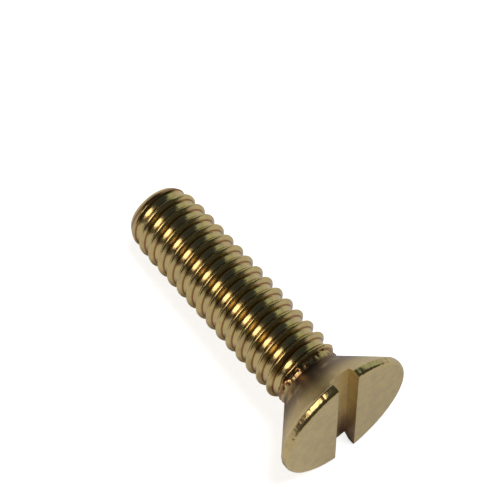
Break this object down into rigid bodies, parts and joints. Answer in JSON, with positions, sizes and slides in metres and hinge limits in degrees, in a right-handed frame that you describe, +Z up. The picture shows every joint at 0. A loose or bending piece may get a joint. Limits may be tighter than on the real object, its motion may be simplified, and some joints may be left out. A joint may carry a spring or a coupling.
{
  "type": "machine screw",
  "caption": "Brass machine screw with a slotted countersunk flat head and a fully threaded shank, lying on its side.",
  "frame": {"origin": "under the middle of the lying screw, on the surface that it lies on", "axes": "+X level, from the tip towards the head; +Z up; the screw's own axis rises 7.0 degrees towards the head in the XZ plane, and the driver slot lies in that plane"},
  "size_m": [0.0252, 0.0118, 0.0115],
  "materials": {
    "brass": "dull brass, rolled bright on the thread crests and brushed on the head face"
  },
  "bodies": {
    "root": {"screw": "brass"}
  },
  "joints": []
}
